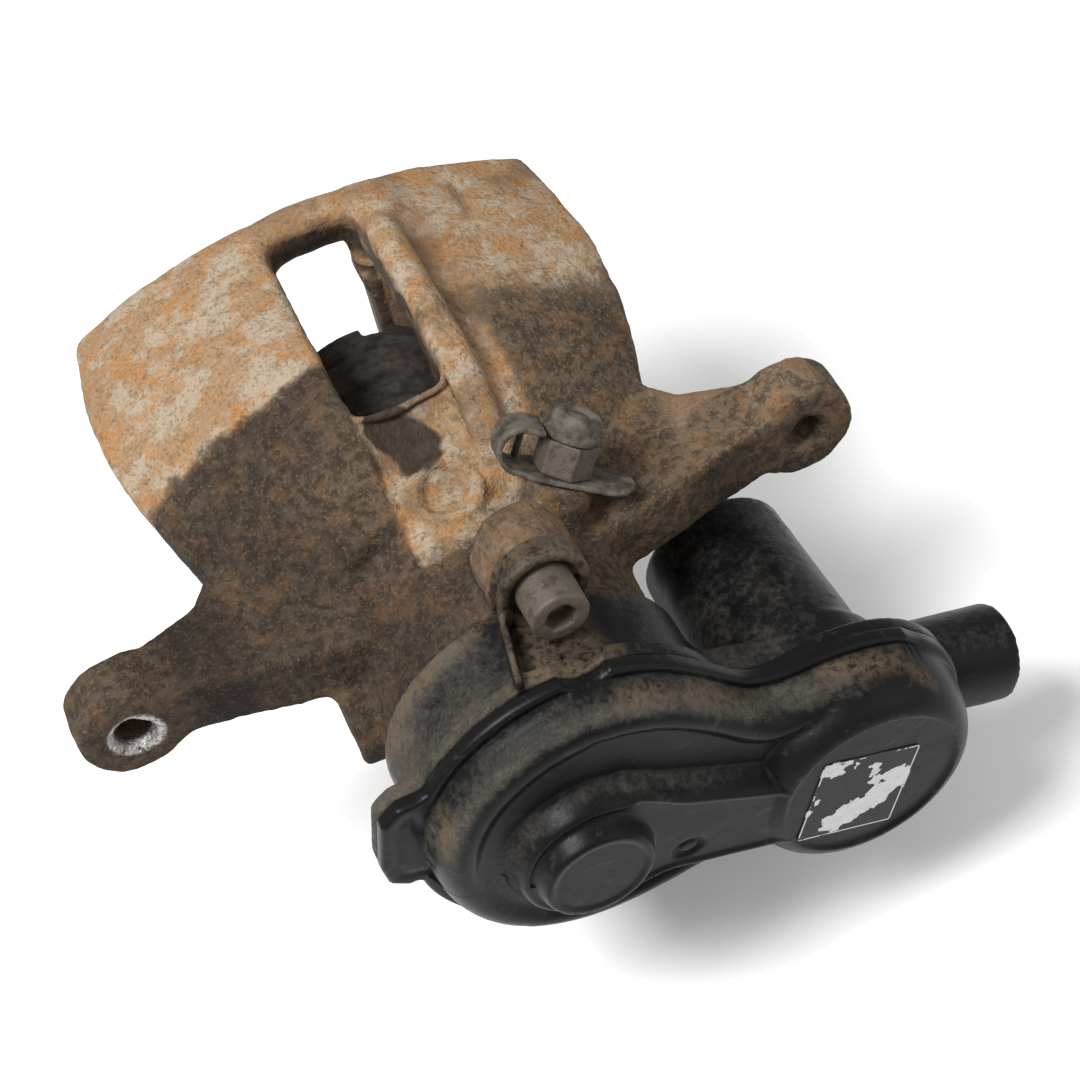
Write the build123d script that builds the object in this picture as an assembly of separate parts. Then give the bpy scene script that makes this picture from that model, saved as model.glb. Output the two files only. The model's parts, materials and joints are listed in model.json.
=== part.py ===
from build123d import *
import math
import os

# Rear floating brake caliper with an electric parking-brake actuator. Millimetres.
# Frame: X along the car, Y from the actuator towards the fingers, Z away from the wheel axle.
# Origin: midway between the two guide-bolt holes, on the inboard faces of the two ears.

# ---- driving dimensions -------------------------------------------------------------------
EAR_X = 76.0             # guide-bolt hole to centre line
EAR_R = 12.0
EAR_T = 13.0             # ear thickness along Y
GUIDE_HOLE_R = 4.1
AXIS_Z = -14.0           # piston and spindle axis, below the guide-bolt line

CYL_R = 30.5             # outside of the cylinder casting
REAR_Y = -24.0           # machined seat of the actuator
MOUTH_Y = 30.0           # open end of the cylinder
BORE_R = 21.5
BORE_FLOOR_Y = -15.0
FINGER_IN_Y = 84.5       # face of the fingers that pushes the outboard pad
OUTER_Y = 96.0           # outboard end of the bridge
WINDOW_HALF = 10.3
WINDOW_Y = (29.0, 86.0)
GROOVE_FLOOR = ((4, 17), (12, 18), (19, 23), (29.5, 31.5))   # (Y, Z) of the groove's floor

PISTON_LENGTH = 54.0
PISTON_CROWN_Y = 76.0    # crown as the part is drawn, nearly fully out
PISTON_R = BORE_R - 0.05
SEAL_Y = 23.0            # near side of the seal groove
SEAL_WIDTH = 2.6
SEAL_R = 24.0
BOOT_SEAT_Y = 27.0       # counterbore that holds the dust boot
BOOT_SEAT_R = 25.5

SPINDLE_R = 5.0
SPINDLE_HOLE_R = 6.05
SPINDLE_TIP_Y = 24.0
NUT_Y = (-8.5, 9.5)
NUT_R = 14.0

SCREW_X, SCREW_Z = 7.0, 26.0      # actuator screw; its twin is opposite, across the axis
LUG_FRONT_Y = -12.5
POCKET_Y = -28.0                  # floor of the plastic pocket under the screw head
POCKET_END_Y = -30.0
SCREW_HEAD = (6.0, 9.5)             # radius and height
GUARD_REACH = 8.5                 # thin guard beside the screw head, from its axis

MOTOR_X, MOTOR_Z = 54.0, -34.0    # motor axis, parallel to the piston
LOBE_X, LOBE_Z = 55.5, -35.0      # centre of the cover's motor end
LOBE_LEAN = math.degrees(math.atan2(AXIS_Z - LOBE_Z, LOBE_X))
POT_R = 33.0                      # gear pot of the actuator
FLANGE_Y = (-46.0, -42.0)         # joint flange of the actuator housing
COVER_Y = -59.0                   # first level of the cover
COVER_ROUND = 5.0
STEP_Y = -62.0                    # raised band from the button to the motor end
BUTTON_Y = -66.0
LABEL_X, LABEL_Z = 52.4, -36.5
WALL = 2.2

SUN_R, PLANET_R = 4.0, 10.0
RING_R = SUN_R + 2 * PLANET_R
ORBIT_R = SUN_R + PLANET_R
GEAR_GAP = 0.15                   # each gear blank stays this far inside its pitch circle
PIN_R = 2.0
RUN = 0.05                        # radial running clearance of shafts in holes
PULLEY_R, PINION_R = 18.0, 6.0
BELT_Y = (-55.0, -50.0)

BLEED_AT = (22.0, 1.0, 18.8)      # middle of the bleed boss's flat face
BLEED_LEAN = 37.4                 # lean of the bleed screw from Z
BLEED_SWING = 23.3                # the lean points this far from +X towards +Y
BLEED_HEX = (1.6, 9.0)            # distances from the boss face, as all of the screw's
BLEED_TIP = 12.9
BLEED_HOLE_R = 4.6
CAP_FOOT = 9.3
CAP_TOP = 14.6
STRAP_TURN = -36.0                # the cap's strap turns by this about the screw
STRAP_WIDTH = 8.0
STRAP_THICK = 1.3
INLET_Y = -10.0                   # brake-hose port, pointing along -X
INLET_FACE_X = -36.5
INLET_R = 4.5
INLET_DEPTH = 12.0
CONNECTOR_LEAN = 18.0             # the plug socket points along +X, tipped down by this
CONNECTOR_R = 10.8
CONNECTOR_LENGTH = 30.0
CONNECTOR_FLOOR = 16.0            # depth of the socket's floor, from the socket's root

os.makedirs("parts", exist_ok=True)


# ---- helpers ------------------------------------------------------------------------------
def along_y(radius, y0, y1, x=0.0, z=AXIS_Z):
    """A cylinder parallel to Y between two stations."""
    return Pos(x, (y0 + y1) / 2, z) * Rot(90, 0, 0) * Cylinder(radius, y1 - y0)


def taper_y(radius0, radius1, y0, y1, x=0.0, z=AXIS_Z):
    """A cone parallel to Y with one radius at each station."""
    return Pos(x, (y0 + y1) / 2, z) * Rot(-90, 0, 0) * Cone(radius0, radius1, y1 - y0)


def tube_y(outer, inner, y0, y1, x=0.0, z=AXIS_Z):
    return along_y(outer, y0, y1, x, z) - along_y(inner, y0 - 1, y1 + 1, x, z)


def block(x0, x1, y0, y1, z0, z1):
    centre = ((x0 + x1) / 2, (y0 + y1) / 2, (z0 + z1) / 2)
    return Pos(*centre) * Box(x1 - x0, y1 - y0, z1 - z0)


def slab_y(sketch, y0, y1):
    """A flat X-Z outline made solid between two Y stations."""
    return extrude(Plane.XZ.offset(-y1) * sketch, amount=y1 - y0)


def write(shape, name, colour):
    shape.label = name
    shape.color = Color(*colour)
    export_step(shape, f"parts/{name}.step")


def orbit(index):
    """Centre of one of the three planets of a stage."""
    angle = math.radians(90 + 120 * index)
    return ORBIT_R * math.cos(angle), AXIS_Z + ORBIT_R * math.sin(angle)


def gear(tip_r, root_r, teeth, y0, y1, x, z):
    """A straight-toothed gear blank: teeth narrow from root to tip."""
    points = []
    for tooth in range(teeth):
        for step, radius in ((0.0, root_r), (0.25, tip_r), (0.5, tip_r), (0.75, root_r)):
            angle = 2 * math.pi * (tooth + step) / teeth
            points.append((x + radius * math.cos(angle), z + radius * math.sin(angle)))
    return slab_y(make_face(Polyline(*points, close=True)), y0, y1)


# ---- iron casting -------------------------------------------------------------------------
def bridge_section(y, left, right, corner_z, crown_z, thick):
    """Cross-section of the bridge: a thick arch between two wing edges."""
    drop = thick * 0.97
    tuck = 2.5
    outer = ThreePointArc((-left, y, corner_z), (0, y, crown_z), (right, y, corner_z))
    inner = ThreePointArc((right - tuck, y, corner_z - drop), (0, y, crown_z - thick),
                          (tuck - left, y, corner_z - drop))
    left = Line(inner @ 1, outer @ 0)
    right = Line(outer @ 1, inner @ 0)
    return make_face(Wire([outer, right, inner, left]))


def bridge():
    stations = (
        (OUTER_Y, 57.5, 55.0, 19.0, 32.0, 12.0),
        (78.0, 60.0, 56.5, 19.5, 33.5, 12.0),
        (54.0, 60.0, 57.0, 18.0, 33.5, 12.0),
        (36.0, 55.5, 54.5, 12.0, 32.5, 15.0),
        (22.0, 49.5, 49.5, 5.0, 26.5, 16.0),
        (8.0, 42.0, 42.0, -3.0, 19.0, 14.0),
    )
    return loft([bridge_section(*station) for station in stations])


def finger(side):
    """One of the two outboard fingers that press the outer pad."""
    outline = Polyline((side * 9.0, 26), (side * 9.0, -34), (side * 16.0, -41),
                       (side * 31.0, -38), (side * 44.0, -20), (side * 53.0, 4),
                       (side * 54.0, 18), (side * 30.0, 26), close=True)
    return slab_y(make_face(outline), FINGER_IN_Y, OUTER_Y)


def rib():
    """The raised rib along the +X side of the window, falling towards the port pad."""
    profile = Polyline((79, 22), (79, 35), (74, 37), (48, 37), (30, 34), (16, 25),
                       (7, 15), (7, 8), (20, 10), (34, 20), close=True)
    return extrude(Plane.YZ.offset(WINDOW_HALF) * make_face(profile), amount=7.5)


def arm(side):
    """Arm from the cylinder to one guide-bolt ear."""
    outline = Polyline((side * 22, -10), (side * 44, -6), (side * 62, -1.5), (side * EAR_X, 0),
                       (side * EAR_X, EAR_T), (side * 68, EAR_T + 1), (side * 56, 18),
                       (side * 50, 26), (side * 22, 29), close=True)
    web = extrude(Plane.XY.offset(-6.5) * make_face(outline), amount=15.5)
    return web + along_y(EAR_R, 0, EAR_T, side * EAR_X, 0)


def bleed_place(distance):
    """Location on the bleed screw's axis, that far out from the boss face."""
    return Pos(*BLEED_AT) * Rot(0, 0, BLEED_SWING) * Rot(0, BLEED_LEAN, 0) * Pos(0, 0, distance)


def on_bleed(radius, d0, d1):
    """A cylinder along the bleed screw's axis, between two distances from the boss face."""
    return bleed_place((d0 + d1) / 2) * Cylinder(radius, d1 - d0)


def strap_place():
    """The boss face, turned so that local X runs along the cap's strap."""
    return bleed_place(0) * Rot(0, 0, STRAP_TURN)


def along_x(radius, x0, x1, y, z):
    return Pos((x0 + x1) / 2, y, z) * Rot(0, 90, 0) * Cylinder(radius, x1 - x0)


def mount_lug(sign):
    """Lug on the cylinder that takes one actuator screw."""
    x = sign * SCREW_X
    z = AXIS_Z + sign * (SCREW_Z - AXIS_Z)
    round_end = along_y(8.5, REAR_Y, LUG_FRONT_Y, x, z)
    foot_z = AXIS_Z + sign * 22
    foot = block(x - 10, x + 10, REAR_Y, LUG_FRONT_Y, min(z, foot_z), max(z, foot_z))
    return round_end + foot


def caliper_housing():
    body = bridge() + finger(1) + finger(-1)
    window = block(-WINDOW_HALF, WINDOW_HALF, *WINDOW_Y, 6, 60)
    floor = Polyline(*GROOVE_FLOOR, (29.5, 60), (4, 60), close=True)
    groove = extrude(Plane.YZ.offset(-WINDOW_HALF) * make_face(floor), amount=2 * WINDOW_HALF)
    gap = slab_y(SlotOverall(70, 2 * WINDOW_HALF - 1.0, rotation=90), FINGER_IN_Y - 1, OUTER_Y + 1)
    body = body - window - groove - Pos(0, 0, -22) * gap
    body = body + along_y(CYL_R, REAR_Y, MOUTH_Y) + arm(1) + arm(-1) + rib()
    body = body + mount_lug(1) + mount_lug(-1)
    body = body + on_bleed(8.0, -14, 0)
    body = body + Pos(1, 10, AXIS_Z + CYL_R - 2) * Cylinder(7.2, 7)
    body = body + along_x(9.0, INLET_FACE_X, -20, INLET_Y, AXIS_Z)

    body -= along_y(BORE_R, BORE_FLOOR_Y, FINGER_IN_Y)
    body -= along_y(SEAL_R, SEAL_Y, SEAL_Y + SEAL_WIDTH)
    body -= along_y(BOOT_SEAT_R, BOOT_SEAT_Y, MOUTH_Y + 12)
    body -= along_y(SPINDLE_HOLE_R, REAR_Y - 1, BORE_FLOOR_Y + 1)
    body -= along_y(SPINDLE_HOLE_R + 2.0, -21.0, -18.6)
    for side in (1, -1):
        body -= along_y(GUIDE_HOLE_R, -1, EAR_T + 1, side * EAR_X, 0)
        body -= taper_y(GUIDE_HOLE_R + 1.6, GUIDE_HOLE_R - 0.2, -0.1, 1.7, side * EAR_X, 0)
        x = side * SCREW_X
        z = AXIS_Z + side * (SCREW_Z - AXIS_Z)
        body -= along_y(3.0, REAR_Y - 1, REAR_Y + 14, x, z)
    body -= on_bleed(BLEED_HOLE_R, -9, 1)
    body -= on_bleed(1.5, -20, -8)
    body -= on_bleed(9.0, 0, 20)
    body -= strap_place() * Pos(-7, 0, 8) * Box(32, STRAP_WIDTH + 4, 16)
    body -= along_x(INLET_R, INLET_FACE_X - 1, INLET_FACE_X + INLET_DEPTH, INLET_Y, AXIS_Z)
    return body


# ---- hydraulic parts ----------------------------------------------------------------------
def piston():
    back_y = PISTON_CROWN_Y - PISTON_LENGTH
    body = along_y(PISTON_R, back_y, PISTON_CROWN_Y)
    body -= along_y(15.5, back_y - 1, PISTON_CROWN_Y - 8)
    body -= along_y(13.0, PISTON_CROWN_Y - 2.5, PISTON_CROWN_Y + 1)
    groove_y = PISTON_CROWN_Y - 9
    body -= tube_y(PISTON_R + 1, PISTON_R - 1.5, groove_y, groove_y + 3)
    for angle in (70, 190, 310):
        slot = Pos(0, PISTON_CROWN_Y, 17) * Box(5, 5, 14)
        body -= Pos(0, 0, AXIS_Z) * Rot(0, angle - 70 + 15, 0) * slot
    return body


def piston_seal():
    return tube_y(SEAL_R, BORE_R, SEAL_Y, SEAL_Y + SEAL_WIDTH)


def dust_boot():
    """Bellows from the cylinder mouth to the groove behind the crown."""
    bead = tube_y(BOOT_SEAT_R, 22.6, BOOT_SEAT_Y, MOUTH_Y)
    grip_y = PISTON_CROWN_Y - 8.7
    sleeve = tube_y(23.4, 22.0, MOUTH_Y, grip_y)
    lip = tube_y(23.4, PISTON_R - 1.4, grip_y, grip_y + 2.4)
    return bead + sleeve + lip


def bleed_screw():
    low, high = BLEED_HEX
    shank = on_bleed(BLEED_HOLE_R - RUN, -6.5, 0)
    cone = bleed_place(-7.5) * Cone(1.6, BLEED_HOLE_R - RUN, 2)
    hexagon = bleed_place(low) * extrude(RegularPolygon(6.3, 6), amount=high - low)
    neck = on_bleed(3.6, 0, low)
    nipple = on_bleed(2.8, high, BLEED_TIP) + on_bleed(3.4, BLEED_TIP - 3, BLEED_TIP - 1)
    bore = on_bleed(1.1, -4, BLEED_TIP + 1)
    return shank + cone + neck + hexagon + nipple - bore


def bleed_cap():
    """Rubber dust cap over the nipple, with a flange at its foot."""
    cap = on_bleed(5.4, CAP_FOOT, CAP_TOP) + on_bleed(6.2, CAP_FOOT, CAP_FOOT + STRAP_THICK)
    return cap - on_bleed(3.6, CAP_FOOT - 1, BLEED_TIP + 0.4)


def cap_strap():
    """The cap's strap: a ring round the screw's neck, a tongue, and a loop up to the flange."""
    ring = extrude(Pos(3, 0) * SlotOverall(26, STRAP_WIDTH + 2), amount=STRAP_THICK)
    ring -= Cylinder(3.8, 10)
    x = -10.0
    r = (CAP_FOOT + STRAP_THICK) / 2
    inner_r = r - STRAP_THICK
    outer = ThreePointArc((x, 0), (x - r, r), (x, 2 * r))
    inner = ThreePointArc((x, r + inner_r), (x - inner_r, r), (x, r - inner_r))
    upper = Polyline((x, 2 * r), (-6.5, CAP_FOOT + STRAP_THICK), (-6.5, CAP_FOOT), (x, r + inner_r))
    lower = Polyline((x, STRAP_THICK), (-6.5, STRAP_THICK), (-6.5, 0), (x, 0))
    profile = make_face(Wire([outer, *upper.edges(), inner, *lower.edges()]))
    loop = extrude(Plane.XZ.offset(-STRAP_WIDTH / 2) * profile, amount=STRAP_WIDTH)
    return strap_place() * Pos(0, 0, 0.15) * (ring + loop)


# ---- parking-brake screw ------------------------------------------------------------------
def spindle():
    thread = along_y(SPINDLE_R, -9, SPINDLE_TIP_Y)
    collar = along_y(10.0, -11, -9)
    journal = along_y(SPINDLE_HOLE_R - RUN, REAR_Y - 1, -11)
    drive = gear(5.6, 4.8, 12, -32.0, REAR_Y - 1, 0, AXIS_Z)
    return thread + collar + journal + drive


def spindle_nut():
    body = along_y(NUT_R, *NUT_Y)
    for angle in (0, 120, 240):
        flat = Pos(0, 0, AXIS_Z) * Rot(0, angle, 0) * Pos(0, 0, NUT_R) * Box(14, 60, 3.5)
        body -= flat
    return body - along_y(SPINDLE_R + RUN, NUT_Y[0] - 1, NUT_Y[1] + 1)


def thrust_bearing():
    return tube_y(10.5, SPINDLE_HOLE_R, -13.8, -11.2)


def thrust_washer():
    return tube_y(11.0, SPINDLE_HOLE_R, BORE_FLOOR_Y, -13.8)


def spindle_o_ring():
    return tube_y(SPINDLE_HOLE_R + 2.0, SPINDLE_HOLE_R, -20.8, -18.8)


def spindle_circlip():
    ring = tube_y(8.4, 5.7, REAR_Y - 2.2, REAR_Y - 1.0)
    return ring - block(-2, 2, REAR_Y - 3, REAR_Y, AXIS_Z, AXIS_Z + 10)


# ---- actuator shell -----------------------------------------------------------------------
def lobe_outline(pot_r, motor_r, band_half, corner):
    """Two-lobed outline of the actuator: gear end, narrow waist, motor end."""
    length = math.hypot(LOBE_X, LOBE_Z - AXIS_Z)
    band = Pos(LOBE_X / 2, (LOBE_Z + AXIS_Z) / 2) * Rot(0, 0, -LOBE_LEAN) * Rectangle(
        length, 2 * band_half)
    shape = Pos(0, AXIS_Z) * Circle(pot_r) + Pos(LOBE_X, LOBE_Z) * Circle(motor_r) + band
    waist = [v for v in shape.vertices()
             if pot_r * 0.4 < v.X < LOBE_X - motor_r * 0.2]
    return fillet(waist, corner)


def left_tab():
    """Slanted tab on the -X side of both flanges."""
    return make_face(Polyline((-30, 7), (-35.5, 7), (-39.5, 4), (-42.5, -9), (-42, -14),
                              (-38.5, -17), (-30, -17), close=True))


def screw_pocket(sign):
    """Plastic lug under one screw head, with a thin guard running from it to the flange."""
    near, far = SCREW_X - GUARD_REACH, SCREW_X - GUARD_REACH - 3.5
    guard = Polyline((near, POCKET_Y), (near - 1.6, POCKET_Y), (far - 1.6, FLANGE_Y[0]),
                     (far, FLANGE_Y[0]), close=True)
    low, high = 17.0 - AXIS_Z, 24.5 - AXIS_Z
    wall = extrude(Plane.XY.offset(low) * make_face(guard), amount=high - low)
    lug = along_y(9.5, POCKET_END_Y, REAR_Y, SCREW_X, SCREW_Z - AXIS_Z)
    half_turn = 0 if sign > 0 else 180
    return Pos(0, 0, AXIS_Z) * Rot(0, half_turn, 0) * (lug + wall)


def connector_place():
    """Root of the plug socket, its local Z along the socket."""
    return Pos(71.5, -34.8, -43.5) * Rot(0, 90 + CONNECTOR_LEAN, 0)


def actuator_housing():
    body = along_y(POT_R, FLANGE_Y[0] + 1, REAR_Y)
    body += taper_y(18.5, 16.8, FLANGE_Y[0] + 1, 8, MOTOR_X, MOTOR_Z)
    body += slab_y(lobe_outline(36.0, 28.0, 21.0, 12) + left_tab(), *FLANGE_Y)
    body += slab_y(lobe_outline(33.0, 18.5, 14.0, 10), FLANGE_Y[0], -30)
    for sign in (1, -1):
        body += screw_pocket(sign)
    body += connector_place() * Pos(0, 0, CONNECTOR_LENGTH / 2) * Cylinder(
        CONNECTOR_R, CONNECTOR_LENGTH)

    body -= along_y(29.5, FLANGE_Y[0] - 1, -27)
    body -= along_y(9.0, -28, REAR_Y + 1)
    body -= along_y(21.5, REAR_Y - 2, REAR_Y + 1) - along_y(18.5, REAR_Y - 3, REAR_Y + 2)
    body -= along_y(14.3, FLANGE_Y[0] - 1, 6, MOTOR_X, MOTOR_Z)
    body -= slab_y(lobe_outline(29.5, 14.3, 12.0, 8), FLANGE_Y[0] - 1, FLANGE_Y[0] + 2)
    for sign in (1, -1):
        x = sign * SCREW_X
        z = AXIS_Z + sign * (SCREW_Z - AXIS_Z)
        body -= along_y(7.2, FLANGE_Y[0] - 1, POCKET_Y, x, z)
        body -= along_y(3.3, POCKET_Y - 1, REAR_Y + 1, x, z)
    socket = Cylinder(CONNECTOR_R - 2, CONNECTOR_LENGTH)
    body -= connector_place() * Pos(0, 0, CONNECTOR_FLOOR + CONNECTOR_LENGTH / 2) * socket
    return body


def actuator_cover():
    body = slab_y(lobe_outline(33.5, 26.0, 19.0, 12), COVER_Y, FLANGE_Y[0])
    body = fillet(body.faces().sort_by(Axis.Y)[0].edges(), COVER_ROUND)
    body += slab_y(lobe_outline(36.0, 28.0, 21.0, 12) + left_tab(), -49.0, FLANGE_Y[0])
    body += slab_y(lobe_outline(17.5, 20.5, 11.0, 5), STEP_Y, COVER_Y + 1)
    body += along_y(12.0, BUTTON_Y, COVER_Y + 1)
    body -= slab_y(lobe_outline(31.0, 23.5, 16.5, 10), COVER_Y + WALL, FLANGE_Y[0] + 1)
    body -= along_y(PIN_R, -61.0, COVER_Y + WALL + 1)
    for sign in (1, -1):
        z = AXIS_Z + sign * (SCREW_Z - AXIS_Z)
        body -= along_y(7.2, BUTTON_Y, FLANGE_Y[0] + 1, sign * SCREW_X, z)
    return body


def cover_label():
    """The label lies across the motor end, square to the line between the two axes."""
    place = Pos(LABEL_X, STEP_Y - 0.15, LABEL_Z) * Rot(0, LOBE_LEAN, 0)
    return place * Box(23, 0.3, 24)


def actuator_screws():
    screws = []
    for sign in (1, -1):
        x = sign * SCREW_X
        z = AXIS_Z + sign * (SCREW_Z - AXIS_Z)
        head = along_y(SCREW_HEAD[0], POCKET_Y - SCREW_HEAD[1], POCKET_Y, x, z)
        shank = along_y(3.0, POCKET_Y, REAR_Y + 12, x, z)
        socket_y = POCKET_Y - SCREW_HEAD[1]
        socket = slab_y(Pos(x, z) * RegularPolygon(3.4, 6), socket_y - 1, socket_y + 4.5)
        screws.append(head + shank - socket)
    return Compound(children=screws)


def actuator_o_ring():
    ring = Pos(0, REAR_Y - 1.0, AXIS_Z) * Rot(90, 0, 0) * Torus(20.0, 0.98)
    return ring


# ---- gear train ---------------------------------------------------------------------------
def belt_pulley():
    wheel = gear(PULLEY_R - 0.4, PULLEY_R - 1.4, 36, BELT_Y[0] - 0.5, BELT_Y[1] + 0.5, 0, AXIS_Z)
    sun = gear(SUN_R - GEAR_GAP, SUN_R - 1.1, 12, BELT_Y[1] + 0.5, -43.0, 0, AXIS_Z)
    return wheel + sun - along_y(PIN_R + RUN, -60, -40)


def planet(index, y0, y1):
    x, z = orbit(index)
    blank = gear(PLANET_R - GEAR_GAP, PLANET_R - 1.6, 30, y0, y1, x, z)
    return blank - along_y(PIN_R + RUN, y0 - 1, y1 + 1, x, z)


def planet_pins(y0, y1):
    pins = [along_y(PIN_R, y0, y1, *orbit(index)) for index in range(3)]
    return Compound(children=pins)


def carrier(y0, y1, radius):
    body = along_y(radius, y0, y1)
    for index in range(3):
        body -= along_y(PIN_R, y0 - 1, y1 + 1, *orbit(index))
    return body


def first_carrier():
    body = carrier(-42.4, -40.0, 19.0)
    body += gear(SUN_R - GEAR_GAP, SUN_R - 1.1, 12, -40.0, -35.2, 0, AXIS_Z)
    return body - along_y(PIN_R + RUN, -44, -34)


def output_carrier():
    body = carrier(-34.4, -29.0, 21.0)
    return body - gear(5.6, 4.8, 12, -32.0, -28.0, 0, AXIS_Z)


def ring_gear():
    inner = gear(RING_R + 1.4, RING_R + GEAR_GAP, 72, -50, -30, 0, AXIS_Z)
    return along_y(29.5, -48.8, -35.0) - inner


def gear_pin():
    return along_y(PIN_R, -61.0, -34.6)


def toothed_belt():
    """Belt round both pulleys, drawn as one closed loop of constant thickness."""
    reach = math.hypot(MOTOR_X, MOTOR_Z - AXIS_Z)
    lean = math.atan2(MOTOR_Z - AXIS_Z, MOTOR_X)

    def loop(extra):
        big = PULLEY_R + extra
        small = PINION_R + extra
        wrap = math.acos((big - small) / reach)
        corners = []
        for radius, cx, cz, sign in ((big, 0, AXIS_Z, 1), (small, MOTOR_X, MOTOR_Z, 1),
                                     (small, MOTOR_X, MOTOR_Z, -1), (big, 0, AXIS_Z, -1)):
            angle = lean + sign * wrap
            corners.append((cx + radius * math.cos(angle), cz + radius * math.sin(angle)))
        run = make_face(Polyline(*corners, close=True))
        ends = Pos(0, AXIS_Z) * Circle(big) + Pos(MOTOR_X, MOTOR_Z) * Circle(small)
        return run + ends

    return slab_y(loop(1.5) - loop(0.0), *BELT_Y)


# ---- motor --------------------------------------------------------------------------------
def motor_tube(outer, inner, y0, y1):
    return tube_y(outer, inner, y0, y1, MOTOR_X, MOTOR_Z)


def motor_can():
    shell = motor_tube(14.2, 13.2, -38.0, 4.0)
    floor = motor_tube(13.2, 4.0, 3.0, 4.0)
    return shell + floor


def motor_end_bell():
    return motor_tube(14.2, 4.0, -41.0, -38.0) + motor_tube(13.2, 12.0, -38.0, -34.0)


def motor_magnets():
    ring = motor_tube(13.2, 11.4, -31.0, -3.0)
    magnets = []
    for side in (1, -1):
        x0, x1 = sorted((MOTOR_X + side * 5, MOTOR_X + side * 16))
        magnets.append(ring & block(x0, x1, -32, -2, MOTOR_Z - 16, MOTOR_Z + 16))
    return Compound(children=magnets)


def motor_bushes():
    bushes = [motor_tube(4.0, 1.6 + RUN, y0, y0 + 2.0) for y0 in (-40.5, 1.8)]
    return Compound(children=bushes)


def brushes():
    blocks = []
    for side in (1, -1):
        x0, x1 = sorted((MOTOR_X + side * 4.3, MOTOR_X + side * 9.5))
        blocks.append(block(x0, x1, -36.5, -33.5, MOTOR_Z - 2, MOTOR_Z + 2))
    return Compound(children=blocks)


def motor_shaft():
    return along_y(1.6, -56.0, 3.6, MOTOR_X, MOTOR_Z)


def armature_core():
    body = motor_tube(10.9, 1.6, -28.0, -8.0)
    for index in range(10):
        slot = Pos(0, -18, 8.6) * Box(1.6, 22, 6)
        body -= Pos(MOTOR_X, 0, MOTOR_Z) * Rot(0, 36 * index, 0) * slot
    return body


def armature_windings():
    return motor_tube(9.2, 3.2, -31.5, -28.0) + motor_tube(9.2, 3.2, -8.0, -4.5)


def commutator():
    return motor_tube(4.0, 1.6, -37.0, -32.0)


def motor_pinion():
    y0, y1 = BELT_Y[0] - 0.5, BELT_Y[1] + 0.5
    wheel = gear(PINION_R - 0.4, PINION_R - 1.4, 12, y0, y1, MOTOR_X, MOTOR_Z)
    return wheel - along_y(1.6, y0 - 1, y1 + 1, MOTOR_X, MOTOR_Z)


def connector_terminals():
    pins = []
    for side in (1, -1):
        pins.append(connector_place() * Pos(side * 3.5, 0, CONNECTOR_FLOOR + 6) * Box(2.8, 1.0, 12))
    return Compound(children=pins)


# ---- write every piece --------------------------------------------------------------------
IRON = (0.45, 0.36, 0.30)
STEEL = (0.62, 0.62, 0.64)
RUBBER = (0.10, 0.10, 0.10)
PLASTIC = (0.16, 0.16, 0.18)
NYLON = (0.80, 0.78, 0.70)
COPPER = (0.72, 0.42, 0.24)

pieces = {
    "caliper_housing": (caliper_housing(), IRON),
    "piston": (piston(), STEEL),
    "piston_seal": (piston_seal(), RUBBER),
    "dust_boot": (dust_boot(), RUBBER),
    "bleed_screw": (bleed_screw(), STEEL),
    "bleed_cap": (bleed_cap(), RUBBER),
    "cap_strap": (cap_strap(), RUBBER),
    "spindle": (spindle(), STEEL),
    "spindle_nut": (spindle_nut(), STEEL),
    "thrust_washer": (thrust_washer(), STEEL),
    "thrust_bearing": (thrust_bearing(), STEEL),
    "spindle_o_ring": (spindle_o_ring(), RUBBER),
    "spindle_circlip": (spindle_circlip(), STEEL),
    "actuator_housing": (actuator_housing(), PLASTIC),
    "actuator_cover": (actuator_cover(), PLASTIC),
    "cover_label": (cover_label(), NYLON),
    "actuator_screws": (actuator_screws(), STEEL),
    "actuator_o_ring": (actuator_o_ring(), RUBBER),
    "belt_pulley": (belt_pulley(), NYLON),
    "toothed_belt": (toothed_belt(), RUBBER),
    "first_carrier": (first_carrier(), NYLON),
    "first_planet_pins": (planet_pins(-48.6, -40.0), STEEL),
    "output_carrier": (output_carrier(), STEEL),
    "second_planet_pins": (planet_pins(-39.6, -29.0), STEEL),
    "ring_gear": (ring_gear(), NYLON),
    "gear_pin": (gear_pin(), STEEL),
    "motor_can": (motor_can(), STEEL),
    "motor_end_bell": (motor_end_bell(), PLASTIC),
    "motor_magnets": (motor_magnets(), RUBBER),
    "motor_bushes": (motor_bushes(), COPPER),
    "motor_brushes": (brushes(), RUBBER),
    "motor_shaft": (motor_shaft(), STEEL),
    "armature_core": (armature_core(), STEEL),
    "armature_windings": (armature_windings(), COPPER),
    "commutator": (commutator(), COPPER),
    "motor_pinion": (motor_pinion(), STEEL),
    "connector_terminals": (connector_terminals(), COPPER),
}
for index in range(3):
    pieces[f"first_planet_{index + 1}"] = (planet(index, -48.4, -43.2), NYLON)
    pieces[f"second_planet_{index + 1}"] = (planet(index, -39.4, -35.2), NYLON)

for name, (shape, colour) in pieces.items():
    write(shape, name, colour)
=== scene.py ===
import json
import math

import bmesh
import bpy
import numpy as np
from mathutils import Matrix, Vector


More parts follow.
